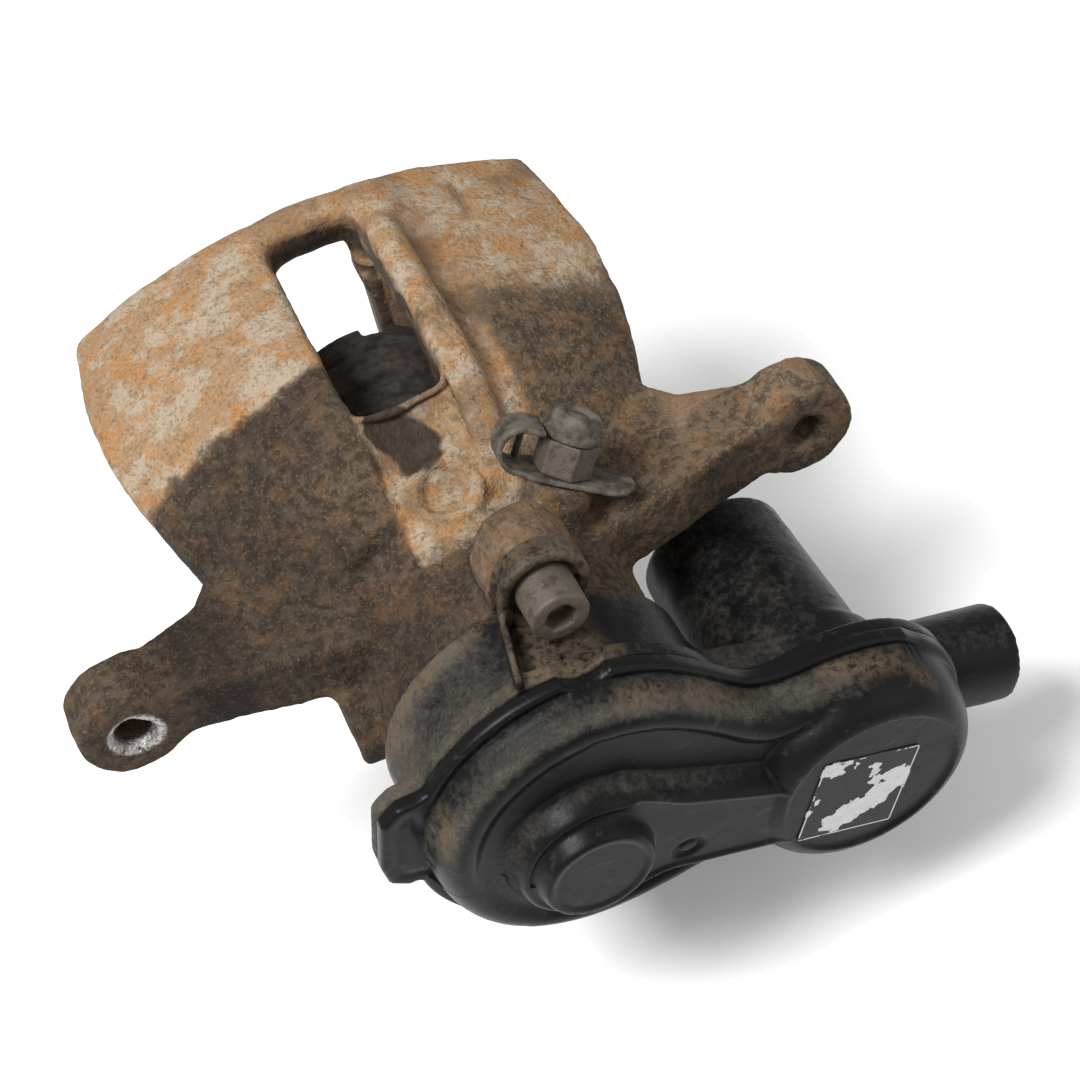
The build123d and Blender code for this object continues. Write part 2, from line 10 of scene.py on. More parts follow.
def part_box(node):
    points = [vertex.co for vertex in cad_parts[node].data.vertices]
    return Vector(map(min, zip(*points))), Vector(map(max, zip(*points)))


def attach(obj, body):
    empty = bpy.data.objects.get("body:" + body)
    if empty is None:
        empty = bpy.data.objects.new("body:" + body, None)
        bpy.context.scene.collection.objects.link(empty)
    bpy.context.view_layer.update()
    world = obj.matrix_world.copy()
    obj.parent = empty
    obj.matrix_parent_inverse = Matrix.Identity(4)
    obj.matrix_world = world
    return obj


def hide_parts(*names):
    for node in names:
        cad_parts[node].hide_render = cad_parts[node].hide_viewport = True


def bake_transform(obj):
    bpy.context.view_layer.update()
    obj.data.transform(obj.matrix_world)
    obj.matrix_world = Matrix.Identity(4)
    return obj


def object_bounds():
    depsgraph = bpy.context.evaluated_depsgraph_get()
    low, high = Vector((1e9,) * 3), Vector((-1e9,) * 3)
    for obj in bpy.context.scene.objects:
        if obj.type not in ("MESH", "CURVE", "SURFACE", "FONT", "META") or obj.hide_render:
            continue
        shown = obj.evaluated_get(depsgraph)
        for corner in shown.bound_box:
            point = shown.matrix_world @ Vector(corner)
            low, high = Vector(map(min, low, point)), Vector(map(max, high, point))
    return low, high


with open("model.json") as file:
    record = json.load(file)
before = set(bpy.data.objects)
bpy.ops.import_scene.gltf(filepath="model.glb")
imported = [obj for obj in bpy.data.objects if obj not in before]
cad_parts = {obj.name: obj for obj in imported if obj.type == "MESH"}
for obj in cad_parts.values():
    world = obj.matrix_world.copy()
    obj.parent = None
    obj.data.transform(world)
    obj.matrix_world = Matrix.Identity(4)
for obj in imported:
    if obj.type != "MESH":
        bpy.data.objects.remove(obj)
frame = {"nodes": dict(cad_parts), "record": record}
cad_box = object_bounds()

MM = 0.001
NODES = frame["nodes"]

# ---- places, as in the CAD, in millimetres ------------------------------------------------
EAR_X = 76.0
AXIS_Z = -14.0
LOBE_X, LOBE_Z = 55.5, -35.0      # motor end of the cover
SCREW_X, SCREW_Z = 7.0, 26.0      # upper actuator screw; its twin is opposite, across the axis
SCREW_WAY_R = 7.2
BORE_R = 21.5
BORE_OVER, PISTON_UNDER = 0.12, 0.20    # clearance of the finer bore and piston, on the radius
BOOT_FOLDS = 6
PORT_X, PORT_Y = 1.0, 10.0        # round pad with a raised rim, on top of the cylinder
POCKET_X, POCKET_Y = -2.7, 23.5   # oily pocket between the window and that pad
VALLEY_X = 21.5                   # valley between the rib and the right wing
FLANGE_BACK = 46.0                # distances in front of the origin, towards -Y
LIP = 49.0
LABEL_FRONT = 62.3
BLEED_AT = Vector((22.0, 1.0, 18.8))
BLEED_LEAN = math.radians(37.4)
BLEED_SWING = math.radians(23.3)
STRAP_TURN = math.radians(-36)
CAP_FOOT, CAP_TOP = 9.3, 14.6

# ---- camera -------------------------------------------------------------------------------
CAMERA_AT = Vector((-0.0467, -0.2875, 0.3525))
CAMERA_LOOKS = Vector((0.1350, 0.6308, -0.7641))
CAMERA_RIGHT = Vector((0.9047, -0.3931, -0.1646))
CAMERA_ANGLE = math.radians(27.44)

FINE_IRON, FINE_PLASTIC = 0.00075, 0.00055
IRON_VOXEL = FINE_IRON
PLASTIC_VOXEL = FINE_PLASTIC
COVER_SPACING = 0.4


# ---- numbers on arrays --------------------------------------------------------------------
def smoothstep(low, high, value):
    """Smooth rise from 0 at low to 1 at high; high may be the smaller of the two."""
    t = np.clip((value - low) / (high - low), 0.0, 1.0)
    return t * t * (3.0 - 2.0 * t)


def lattice(ix, iy, iz, seed):
    """A repeatable random number in 0..1 for each whole-number point."""
    n = ix * 374761393 + iy * 668265263 + iz * 1274126177 + seed * 974634777
    n = (n ^ (n >> 13)) * 1103515245 & 0x7FFFFFFF
    n = (n ^ (n >> 16)) & 0xFFFFFF
    return n / float(0xFFFFFF)


def value_noise(points, size, seed):
    """Smooth noise in -1..1 with features of the given size."""
    scaled = points / size
    cell = np.floor(scaled).astype(np.int64)
    part = scaled - cell
    ease = part * part * (3 - 2 * part)
    total = np.zeros(len(points))
    for dx in (0, 1):
        for dy in (0, 1):
            for dz in (0, 1):
                weight = np.ones(len(points))
                for axis, step in enumerate((dx, dy, dz)):
                    weight = weight * (ease[:, axis] if step else 1 - ease[:, axis])
                corner = lattice(cell[:, 0] + dx, cell[:, 1] + dy, cell[:, 2] + dz, seed)
                total += weight * corner
    return total * 2 - 1


def fractal(points, size, octaves, seed):
    """Value noise with finer and fainter noise added, octave by octave."""
    total = np.zeros(len(points))
    for octave in range(octaves):
        total += value_noise(points, size / 2 ** octave, seed + octave) / 2 ** octave
    return total


def bell(value, middle, width):
    """A smooth bump, 1 at the middle value."""
    return np.exp(-((value - middle) / width) ** 2)


# ---- mesh tools ---------------------------------------------------------------------------
def read_points(mesh):
    points = np.empty(len(mesh.vertices) * 3)
    mesh.vertices.foreach_get("co", points)
    return points.reshape(-1, 3)


def read_normals(mesh):
    normals = np.empty(len(mesh.vertices) * 3)
    mesh.vertex_normals.foreach_get("vector", normals)
    return normals.reshape(-1, 3)


def write_points(mesh, points):
    mesh.vertices.foreach_set("co", points.ravel())
    mesh.update()


def relax(mesh, steps, weight=None):
    """Rounds a mesh by moving each point towards the mean of its neighbours."""
    edges = np.empty(len(mesh.edges) * 2, np.int64)
    mesh.edges.foreach_get("vertices", edges)
    a, b = edges[0::2], edges[1::2]
    count = len(mesh.vertices)
    share = np.bincount(a, minlength=count) + np.bincount(b, minlength=count)
    points = read_points(mesh)
    pull = np.full(count, 0.5) if weight is None else 0.5 * weight
    for _ in range(steps):
        mean = np.empty_like(points)
        for axis in range(3):
            column = points[:, axis]
            summed = np.bincount(a, column[b], count) + np.bincount(b, column[a], count)
            mean[:, axis] = summed / np.maximum(share, 1)
        points += (mean - points) * pull[:, None]
    write_points(mesh, points)


def store(mesh, name, values):
    """Keeps one number per point for the materials to read."""
    layer = mesh.attributes.new(name, "FLOAT", "POINT")
    layer.data.foreach_set("value", np.asarray(values, np.float32))


def smooth_faces(obj):
    obj.data.polygons.foreach_set("use_smooth", np.ones(len(obj.data.polygons), bool))


def remeshed_copy(node, name, voxel):
    """A fine even mesh of a CAD node, as a new object."""
    obj = bpy.data.objects.new(name, NODES[node].data.copy())
    bpy.context.scene.collection.objects.link(obj)
    modifier = obj.modifiers.new("even", "REMESH")
    modifier.mode = "VOXEL"
    modifier.voxel_size = voxel
    graph = bpy.context.evaluated_depsgraph_get()
    mesh = bpy.data.meshes.new_from_object(obj.evaluated_get(graph))
    obj.modifiers.clear()
    obj.data = mesh
    mesh.materials.clear()
    return obj


def new_object(name, mesh):
    obj = bpy.data.objects.new(name, mesh)
    bpy.context.scene.collection.objects.link(obj)
    return obj


def mesh_from(name, points, faces):
    mesh = bpy.data.meshes.new(name)
    mesh.from_pydata([tuple(p) for p in points], [], faces)
    mesh.update()
    return mesh


def weld(mesh):
    """Joins coinciding points and turns all faces outwards."""
    tidy = bmesh.new()
    tidy.from_mesh(mesh)
    bmesh.ops.remove_doubles(tidy, verts=tidy.verts, dist=1e-6)
    bmesh.ops.dissolve_degenerate(tidy, edges=tidy.edges, dist=1e-7)
    bmesh.ops.recalc_face_normals(tidy, faces=tidy.faces)
    tidy.to_mesh(mesh)
    tidy.free()


def join_into(obj, piece):
    """Makes the second object part of the first."""
    bpy.ops.object.select_all(action="DESELECT")
    obj.select_set(True)
    piece.select_set(True)
    bpy.context.view_layer.objects.active = obj
    bpy.ops.object.join()


# ---- material tools -----------------------------------------------------------------------
class Shader:
    """Short names for the shader nodes used below."""

    def __init__(self, name):
        self.material = bpy.data.materials.new(name)
        self.material.use_nodes = True
        self.tree = self.material.node_tree
        self.tree.nodes.clear()
        self.out = self.tree.nodes.new("ShaderNodeOutputMaterial")
        self.bsdf = self.tree.nodes.new("ShaderNodeBsdfPrincipled")
        self.tree.links.new(self.bsdf.outputs[0], self.out.inputs[0])
        self.place = self.tree.nodes.new("ShaderNodeTexCoord").outputs["Object"]

    def feed(self, socket, value):
        """Links another socket, or sets a plain value or colour."""
        if isinstance(value, bpy.types.NodeSocket):
            self.tree.links.new(value, socket)
        elif isinstance(value, (tuple, list)) and len(value) == 3 and len(socket.default_value) == 4:
            socket.default_value = (*value, 1.0)
        else:
            socket.default_value = value

    def placed(self, shift, stretch=(1, 1, 1)):
        """Coordinates on the piece, moved so that each pattern is its own."""
        node = self.tree.nodes.new("ShaderNodeMapping")
        self.tree.links.new(self.place, node.inputs["Vector"])
        node.inputs["Location"].default_value = shift
        node.inputs["Scale"].default_value = stretch
        return node.outputs[0]

    def noise(self, size, detail=4.0, rough=0.55, seed=0.0, stretch=(1, 1, 1)):
        """Noise with features of about the given size in metres, 0..1."""
        node = self.tree.nodes.new("ShaderNodeTexNoise")
        self.feed(node.inputs["Vector"], self.placed((seed, seed * 0.7, seed * 1.3), stretch))
        node.inputs["Scale"].default_value = 1.0 / size
        node.inputs["Detail"].default_value = detail
        node.inputs["Roughness"].default_value = rough
        return node.outputs["Fac"]

    def cells(self, size, seed=0.0):
        """Distance from the middle of the nearest of many scattered cells."""
        node = self.tree.nodes.new("ShaderNodeTexVoronoi")
        self.feed(node.inputs["Vector"], self.placed((seed, seed, seed)))
        node.inputs["Scale"].default_value = 1.0 / size
        return node.outputs["Distance"]

    def attribute(self, name):
        """One of the numbers kept on the mesh by store."""
        node = self.tree.nodes.new("ShaderNodeAttribute")
        node.attribute_name = name
        return node.outputs["Fac"]

    def step(self, value, low, high, out_low=0.0, out_high=1.0):
        """Smooth change from one output to another between two input values."""
        node = self.tree.nodes.new("ShaderNodeMapRange")
        node.interpolation_type = "SMOOTHSTEP"
        self.feed(node.inputs["Value"], value)
        node.inputs["From Min"].default_value = low
        node.inputs["From Max"].default_value = high
        node.inputs["To Min"].default_value = out_low
        node.inputs["To Max"].default_value = out_high
        return node.outputs["Result"]

    def math(self, kind, a, b=0.0, clamp=False):
        node = self.tree.nodes.new("ShaderNodeMath")
        node.operation = kind
        node.use_clamp = clamp
        self.feed(node.inputs[0], a)
        self.feed(node.inputs[1], b)
        return node.outputs[0]

    def ragged(self, level, noise, amount):
        """A level with noise added about its middle, so that its edges come out ragged."""
        return self.math("ADD", level, self.math("MULTIPLY", self.math("SUBTRACT", noise, 0.5), amount))

    def mix(self, amount, a, b):
        node = self.tree.nodes.new("ShaderNodeMix")
        node.data_type = "RGBA"
        self.feed(node.inputs["Factor"], amount)
        self.feed(node.inputs["A"], a)
        self.feed(node.inputs["B"], b)
        return node.outputs["Result"]

    def bump(self, height, depth, normal=None):
        node = self.tree.nodes.new("ShaderNodeBump")
        node.inputs["Distance"].default_value = depth
        self.feed(node.inputs["Height"], height)
        if normal is not None:
            self.tree.links.new(normal, node.inputs["Normal"])
        return node.outputs[0]

    def finish(self, colour, rough, normal=None, metal=0.0, **sockets):
        """Feeds the surface shader; other sockets are named with _ for spaces."""
        self.feed(self.bsdf.inputs["Base Color"], colour)
        self.feed(self.bsdf.inputs["Roughness"], rough)
        self.feed(self.bsdf.inputs["Metallic"], metal)
        if normal is not None:
            self.tree.links.new(normal, self.bsdf.inputs["Normal"])
        for name, value in sockets.items():
            self.bsdf.inputs[name.replace("_", " ")].default_value = value
        return self.material


# ---- materials ----------------------------------------------------------------------------
def rust_colour(s, blotch, speck, grain, orange):
    """Mottled tan, cream and orange rust, brown where the mesh says so."""
    cream = s.step(s.noise(0.0085, 5, 0.62, seed=5.0), 0.46, 0.57)
    rust = s.mix(blotch, (0.22, 0.130, 0.068), (0.34, 0.225, 0.125))
    rust = s.mix(s.math("MULTIPLY", cream, 0.72), rust, (0.35, 0.300, 0.230))
    rust = s.mix(s.math("MULTIPLY", orange, 0.60), rust, (0.34, 0.150, 0.040))
    rust = s.mix(s.step(speck, 0.54, 0.66, 0.0, 0.55), rust, (0.16, 0.090, 0.045))
    rust = s.mix(s.step(grain, 0.54, 0.70, 0.0, 0.40), rust, (0.42, 0.35, 0.27))
    rust = s.mix(s.step(grain, 0.46, 0.34, 0.0, 0.60), rust, (0.11, 0.065, 0.035))
    # The brown attribute carries darker rust and also painted shade on downward faces, the window's
    # inner walls and the valley beside the rib.
    rust = s.mix(s.math("MULTIPLY", s.attribute("brown"), 0.85), rust, (0.125, 0.070, 0.040))
    return s.mix(s.attribute("spot"), rust, (0.42, 0.115, 0.018))


def dirt_colour(s, speck, grain, orange):
    """Gritty road dirt, from nearly black to sandy, with some rust showing through; its darkest tones
    on faces that point down are painted shade.
    """
    tone = s.attribute("tone")
    dirt = s.mix(tone, (0.018, 0.013, 0.010), (0.175, 0.125, 0.080))
    dirt = s.mix(s.step(speck, 0.40, 0.60, 0.60, 0.0), dirt, (0.012, 0.008, 0.006))
    pale = s.mix(tone, (0.055, 0.042, 0.031), (0.27, 0.205, 0.135))
    dirt = s.mix(s.step(grain, 0.52, 0.68, 0.0, 0.70), dirt, pale)
    showing = s.math("MULTIPLY", s.math("MULTIPLY", orange, tone), 0.45)
    return s.mix(showing, dirt, (0.27, 0.125, 0.045))


def iron_material():
    """Sand-cast iron under rust, road dirt and oily stains, with bare metal where it is worn, and
    painted shade on faces that point down, on the window's inner walls and in the valley beside the
    rib.
    """
    s = Shader("rusty_iron")
    blotch = s.noise(0.011, 5, 0.6)
    speck = s.noise(0.0024, 4, 0.65, seed=3.0)
    grain = s.noise(0.0008, 3, 0.7, seed=7.0)
    orange = s.step(s.noise(0.0060, 6, 0.68, seed=11.0), 0.50, 0.60)
    pit = s.step(s.cells(0.0030, seed=2.0), 0.10, 0.26)
    dirty = s.step(s.ragged(s.attribute("dirt"), speck, 0.7), 0.30, 0.70)
    colour = s.mix(dirty, rust_colour(s, blotch, speck, grain, orange),
                   dirt_colour(s, speck, grain, orange))

    # Near-black colour laid on the oil stain round the pocket, and as painted shade on the window's
    # inner walls.
    oil_and_shade = s.step(s.ragged(s.attribute("oil_and_shade"), blotch, 0.7), 0.35, 0.62)
    colour = s.mix(oil_and_shade, colour, s.mix(speck, (0.004, 0.003, 0.002), (0.070, 0.048, 0.033)))
    scratch = s.step(s.noise(0.0011, 4, 0.7, seed=13.0), 0.36, 0.52)
    bare = s.math("MULTIPLY", s.attribute("bare"), scratch)
    colour = s.mix(bare, colour, (0.42, 0.42, 0.41))

    normal = s.bump(speck, 0.0007)
    normal = s.bump(grain, 0.00035, normal)
    normal = s.bump(pit, 0.0002, normal)
    rough = s.step(oil_and_shade, 0.0, 1.0, 0.88, 0.7)
    rough = s.math("SUBTRACT", rough, s.math("MULTIPLY", bare, 0.45))
    return s.finish(colour, rough, normal, metal=bare, Specular_IOR_Level=0.18)


def plastic_material(name):
    """Black glass-filled nylon with dry road dust held in its corners."""
    s = Shader(name)
    cloud = s.noise(0.016, 5, 0.6, seed=2.0)
    fine = s.noise(0.0017, 5, 0.7, seed=4.0)
    grain = s.noise(0.0006, 2, 0.6, seed=6.0)
    scuff = s.step(s.noise(0.007, 6, 0.7, seed=9.0, stretch=(1, 1, 3)), 0.60, 0.64)
    base = s.mix(cloud, (0.0025, 0.0025, 0.0028), (0.0065, 0.0065, 0.0068))
    level = s.ragged(s.ragged(s.attribute("dust"), cloud, 0.6), fine, 0.9)
    dusty = s.step(level, 0.25, 1.05)
    sand = s.mix(grain, (0.022, 0.019, 0.016), (0.125, 0.112, 0.092))
    colour = s.mix(dusty, base, sand)
    soiled = s.math("MULTIPLY", s.attribute("soil"), s.step(fine, 0.3, 0.6))
    colour = s.mix(soiled, colour, (0.105, 0.076, 0.049))
    colour = s.mix(s.math("MULTIPLY", scuff, 0.10), colour, (0.12, 0.12, 0.12))
    rough = s.math("ADD", s.step(dusty, 0.0, 0.7, 0.30, 0.85), s.math("MULTIPLY", fine, 0.12))
    normal = s.bump(fine, 0.00008)
    normal = s.bump(s.math("MULTIPLY", grain, dusty), 0.00030, normal)
    return s.finish(colour, rough, normal, Specular_IOR_Level=0.13)


def rubber_material(name, dark, pale):
    """Dusty rubber, in clouds from dark to pale."""
    s = Shader(name)
    cloud = s.noise(0.0045, 5, 0.65, seed=1.0)
    grain = s.noise(0.0006, 3, 0.6, seed=8.0)
    colour = s.mix(s.step(cloud, 0.35, 0.65), dark, pale)
    colour = s.mix(s.step(grain, 0.45, 0.30, 0.0, 0.5), colour, dark)
    return s.finish(colour, 0.75, s.bump(grain, 0.00015), Specular_IOR_Level=0.3)


def steel_material(name, clean, stained, stain=0.5, rough=0.4, metal=0.85):
    """Steel with duller stains; stain says how much of it they cover."""
    s = Shader(name)
    cloud = s.noise(0.003, 5, 0.7, seed=2.0)
    grain = s.noise(0.0005, 3, 0.6, seed=5.0)
    dirty = s.step(cloud, 0.62 - stain * 0.3, 0.80 - stain * 0.3)
    colour = s.mix(dirty, clean, stained)
    colour = s.mix(s.step(grain, 0.44, 0.30, 0.0, 0.6), colour, stained)
    shine = s.math("SUBTRACT", metal, s.math("MULTIPLY", dirty, metal * 0.8))
    level = s.step(dirty, 0.0, 1.0, rough, 0.8)
    return s.finish(colour, level, s.bump(grain, 0.00015), metal=shine)


def plain_material(name, colour, rough, metal=0.0):
    """Fine-grained finish of the small parts inside."""
    s = Shader(name)
    cloud = s.noise(0.004, 3, 0.5)
    darker = tuple(0.75 * c for c in colour)
    grain = s.noise(0.0005, 2, 0.5, seed=3.0)
    return s.finish(s.mix(cloud, darker, colour), rough, s.bump(grain, 0.00005), metal=metal)


def label_material():
    """A worn blank sticker: what is left of its white film, on a dark backing."""
    s = Shader("worn_label")
    grain = s.noise(0.0012, 4, 0.6, seed=1.0)
    film = s.mix(grain, (0.36, 0.35, 0.35), (0.60, 0.59, 0.60))
    back = s.mix(grain, (0.008, 0.007, 0.007), (0.030, 0.027, 0.026))
    left = s.step(s.attribute("film"), 0.4, 0.6)
    return s.finish(s.mix(left, back, film), s.step(left, 0, 1, 0.6, 0.45), s.bump(grain, 0.00004),
                    Specular_IOR_Level=0.25)


MATERIALS = {
    "cast_iron_rusty": iron_material(),
    "plastic_black": plastic_material("black_plastic"),
    "rubber_black": rubber_material("black_rubber", (0.014, 0.011, 0.010), (0.052, 0.042, 0.035)),
    "rubber_grey": rubber_material("tan_rubber", (0.032, 0.025, 0.019), (0.120, 0.102, 0.080)),
    "piston_steel": steel_material("dull_piston", (0.050, 0.043, 0.038), (0.022, 0.017, 0.014),
                                   rough=0.5, metal=0.3),
    "steel_screw": steel_material("rusty_screw", (0.100, 0.080, 0.062), (0.040, 0.028, 0.020),
                                  rough=0.6, metal=0.3),
    "steel_bright": steel_material("ground_steel", (0.55, 0.55, 0.56), (0.30, 0.28, 0.26),
                                   stain=0.1, rough=0.3),
    "label_worn": label_material(),
    "nylon_gear": plain_material("acetal", (0.72, 0.68, 0.56), 0.45),
    "copper": plain_material("copper_wire", (0.60, 0.26, 0.12), 0.35, 0.9),
    "magnet": plain_material("ferrite", (0.05, 0.05, 0.055), 0.6),
    "contact_brass": plain_material("tinned_brass", (0.62, 0.52, 0.30), 0.3, 0.9),
}

slot_of = {part["node"]: part["material_slot"] for part in frame["record"]["subparts"]}
bodies = frame["record"]["behaviour"]["bodies"]
body_of = {node: body for body, nodes in bodies.items() for node in nodes}


def finish_cad_nodes():
    """Gives every CAD node its material, and shades its curved faces smooth."""
    for node, obj in NODES.items():
        obj.data.materials.clear()
        obj.data.materials.append(MATERIALS[slot_of[node]])
        obj.data.shade_smooth()
        obj.data.set_sharp_from_angle(angle=math.radians(32))


def stand_in(obj, node):
    """obj takes the place, material and motion of that CAD node."""
    smooth_faces(obj)
    obj.data.materials.append(MATERIALS[slot_of[node]])
    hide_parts(node)
    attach(obj, body_of[node])


def softened(node, name, voxel, steps, rough=0.0):
    """An evenly meshed copy of a CAD node with its edges worn round and its skin slightly uneven."""
    obj = remeshed_copy(node, name, voxel * MM)
    relax(obj.data, steps)
    if rough:
        points = read_points(obj.data)
        shift = rough * MM * fractal(points, 0.0025, 3, 13)
        write_points(obj.data, points + read_normals(obj.data) * shift[:, None])
    return obj


# ---- iron casting -------------------------------------------------------------------------
def ear_radius(x, z):
    return np.hypot(np.abs(x) - EAR_X, z)


def bore_radius(x, z):
    return np.hypot(x, z - AXIS_Z)


def pocket_radius(x, y):
    """Distance from the middle of the oily pocket, a little drawn out along Y."""
    return np.hypot(x - POCKET_X, (y - POCKET_Y) * 0.9)


def cast_features(x, y, z, up):
    """How far the small cast features stand out of the skin, in millimetres."""
    top = smoothstep(0.3, 0.8, up)
    from_port = np.hypot(x - PORT_X, y - PORT_Y)
    on_port = top * (z > 14) * (z < 22)
    rise = 1.0 * bell(from_port, 6.8, 1.1) * on_port - 1.1 * smoothstep(5.8, 4.4, from_port) * on_port
    groove = smoothstep(10.8, 9.2, np.abs(x)) * top * (z > 12)
    rise -= 2.4 * groove * smoothstep(12, 20, y) * smoothstep(29.5, 27, y)
    valley = bell(x, VALLEY_X, 3.2) * smoothstep(20, 30, y) * smoothstep(82, 68, y)
    rise -= 1.8 * valley * top * (z > 20)
    rise -= 1.0 * smoothstep(7.0, 3.0, pocket_radius(x, y)) * top * (z > 12)
    far_wall = (np.abs(x) < 13) * (y > 82) * (y < 92) * smoothstep(0.2, -0.4, up) * (z > 16)
    rise -= 1.6 * far_wall * smoothstep(27.5, 26.5, z)
    notch = bell(x, 35 + 0.1 * (y - 79), 1.6) * smoothstep(70, 75, y) * smoothstep(89, 84, y)
    return rise - 1.0 * notch * top


def widened_bore(points):
    """The same points with the cylinder wall a little over size, so that the piston runs clear."""
    radius = bore_radius(points[:, 0] / MM, points[:, 2] / MM)
    widen = np.where(np.abs(radius - BORE_R) < 0.5, (BORE_R + BORE_OVER) / radius, 1.0)
    points[:, 0] *= widen
    points[:, 2] = AXIS_Z * MM + (points[:, 2] - AXIS_Z * MM) * widen
    return points


def shape_casting(mesh):
    """Rounds the casting, adds its small features and a sand-cast skin, but spares machined faces."""
    x, y, z = (read_points(mesh) / MM).T
    machined = (ear_radius(x, z) < 6.5) | (bore_radius(x, z) < 26.2) | (y < -23.2)
    weight = np.where(machined, 0.12, 1.0)
    passes = int(18 / (IRON_VOXEL / FINE_IRON) ** 2)
    relax(mesh, passes, weight)
    relax(mesh, 2 * passes, smoothstep(34, 50, y) * weight)

    points = read_points(mesh)
    normals = read_normals(mesh)
    x, y, z = (points / MM).T
    skin = 0.32 * fractal(points, 0.010, 3, 5) + 0.11 * fractal(points, 0.0018, 2, 9)
    rise = cast_features(x, y, z, normals[:, 2]) + skin * np.where(machined, 0.15, 1.0)
    write_points(mesh, widened_bore(points + normals * (rise * MM)[:, None]))


def between_wings(x):
    """1 over the groove and the rib, 0 on the two wings of the bridge."""
    return smoothstep(-12.5, -9.5, x) * smoothstep(31, 21, x)


def dirt_cover(x, y, mottle, fine):
    """Road dirt lies on the cylinder side, and ends across each wing on a wavering line."""
    warp = 3.0 * mottle + 1.2 * fine
    left = smoothstep(6, -6, y - 46 - 0.12 * x - warp)
    middle = 0.42 + 0.50 * smoothstep(6, -10, y - 2 * warp) + 0.12 * fine
    right = smoothstep(19, -15, y - 47 - 2 * warp)
    dirt = np.where(x < 0, left, right)
    return dirt + (middle - dirt) * between_wings(x) * smoothstep(58, 40, y)


def brown_rust_and_shade(x, y, mottle, fine, inside):
    """Darker brown: rust on the right wing, over the groove and rib and in the far right corner, and
    painted shade on downward faces, the window's inner walls and the valley beside the rib.
    """
    right_wing = smoothstep(5, 22, x) * smoothstep(30, 60, y)
    # Rust on the right wing; inside adds painted shade on downward faces and the window's inner walls.
    brown = (0.05 + 0.20 * mottle) * right_wing + 0.95 * inside
    # Painted shade in the valley beside the rib.
    brown += 0.55 * bell(x, VALLEY_X, 4.0) * smoothstep(25, 40, y) * (x > 18)
    far_corner = smoothstep(72, 88, y) * smoothstep(18, 34, x)
    brown += 0.7 * far_corner * smoothstep(0.1, 0.5, mottle + 0.3)
    return brown + 0.35 * between_wings(x) * smoothstep(0.0, 0.5, fine + mottle)


def dirt_tone_and_shade(x, y, z, up, arm, mottle):
    """How pale the dirt is: palest round the port pad and on the ears, and darker on faces that point
    down, which is painted shade.
    """
    near_port = bell(np.hypot(x - 3, y - 14), 0, 17)
    on_ear = smoothstep(17, 11, ear_radius(x, z)) * (y < 14)
    tone = 0.22 + 0.50 * near_port + 0.12 * mottle + 0.26 * smoothstep(0, 30, x)
    tone += arm * np.where(x > 0, 0.34 * smoothstep(0.6, 0.95, up) - 0.22, -0.14) + 0.22 * on_ear
    # Painted shade: faces that point down are made darker.
    return tone - 0.22 * smoothstep(0.3, -0.4, up)


def paint_casting(mesh):
    """Keeps on the mesh where the casting is dirty, brown, pale, spotted, oily and bare, and where
    painted shade darkens it.
    """
    points = read_points(mesh)
    up = read_normals(mesh)[:, 2]
    x, y, z = (points / MM).T
    mottle = fractal(points, 0.020, 3, 21)
    fine = fractal(points, 0.007, 3, 27)
    window_wall = (np.abs(x) < 12.5) & (y > 24) & (y < 90)
    # inside: faces that point down, and the window's inner walls; they are darkened as painted shade.
    inside = 1.0 - smoothstep(-0.1, 0.5, up + 0.5 * ~window_wall)
    arm = smoothstep(44, 56, np.abs(x)) * (y < 30)
    red = arm * (x > 0) * smoothstep(0.7, 0.92, up) * smoothstep(0.1, 0.4, mottle)
    lug = (np.hypot(x - SCREW_X, z - SCREW_Z) < 11) & (y < -11) & (up > -0.2)
    dirt = dirt_cover(x, y, mottle, fine) * (1 - 0.7 * red) * np.where(lug, 0.55, 1.0)
    brown = np.where(lug | (red > 0.3), 0.8, brown_rust_and_shade(x, y, mottle, fine, inside))
    spot = 0.9 * smoothstep(2.0, 1.0, np.hypot(x + 32.4, y - 40.2)) * (up > 0)
    spot += 0.5 * (ear_radius(x, z) < 5.6) * (x > 0)
    oil_and_shade = 0.9 * smoothstep(9.5, 3.5, pocket_radius(x, y) + 2.2 * fine) * (up > 0.1) * (z < 30)
    # Painted shade: the window's inner walls get the same near-black colour as the oil stain.
    oil_and_shade += 0.6 * inside * window_wall
    bare_hole = smoothstep(6.3, 5.6, ear_radius(x, z)) * (x < 0) * (y < 2.2)
    bare_seat = (y < -21.5) * (x < -18) * (z < -14) * (bore_radius(x, z) > 28)
    store(mesh, "dirt", np.clip(dirt, 0, 1))
    store(mesh, "brown", np.clip(brown, 0, 1))
    store(mesh, "tone", np.clip(dirt_tone_and_shade(x, y, z, up, arm, mottle), 0, 1))
    store(mesh, "spot", np.clip(spot, 0, 1))
    store(mesh, "oil_and_shade", np.clip(oil_and_shade, 0, 1))
    store(mesh, "bare", np.clip(bare_hole + bare_seat, 0, 1))


def build_casting():
    """The iron casting."""
    obj = remeshed_copy("caliper_housing", "casting", IRON_VOXEL)
    shape_casting(obj.data)
    paint_casting(obj.data)
    stand_in(obj, "caliper_housing")


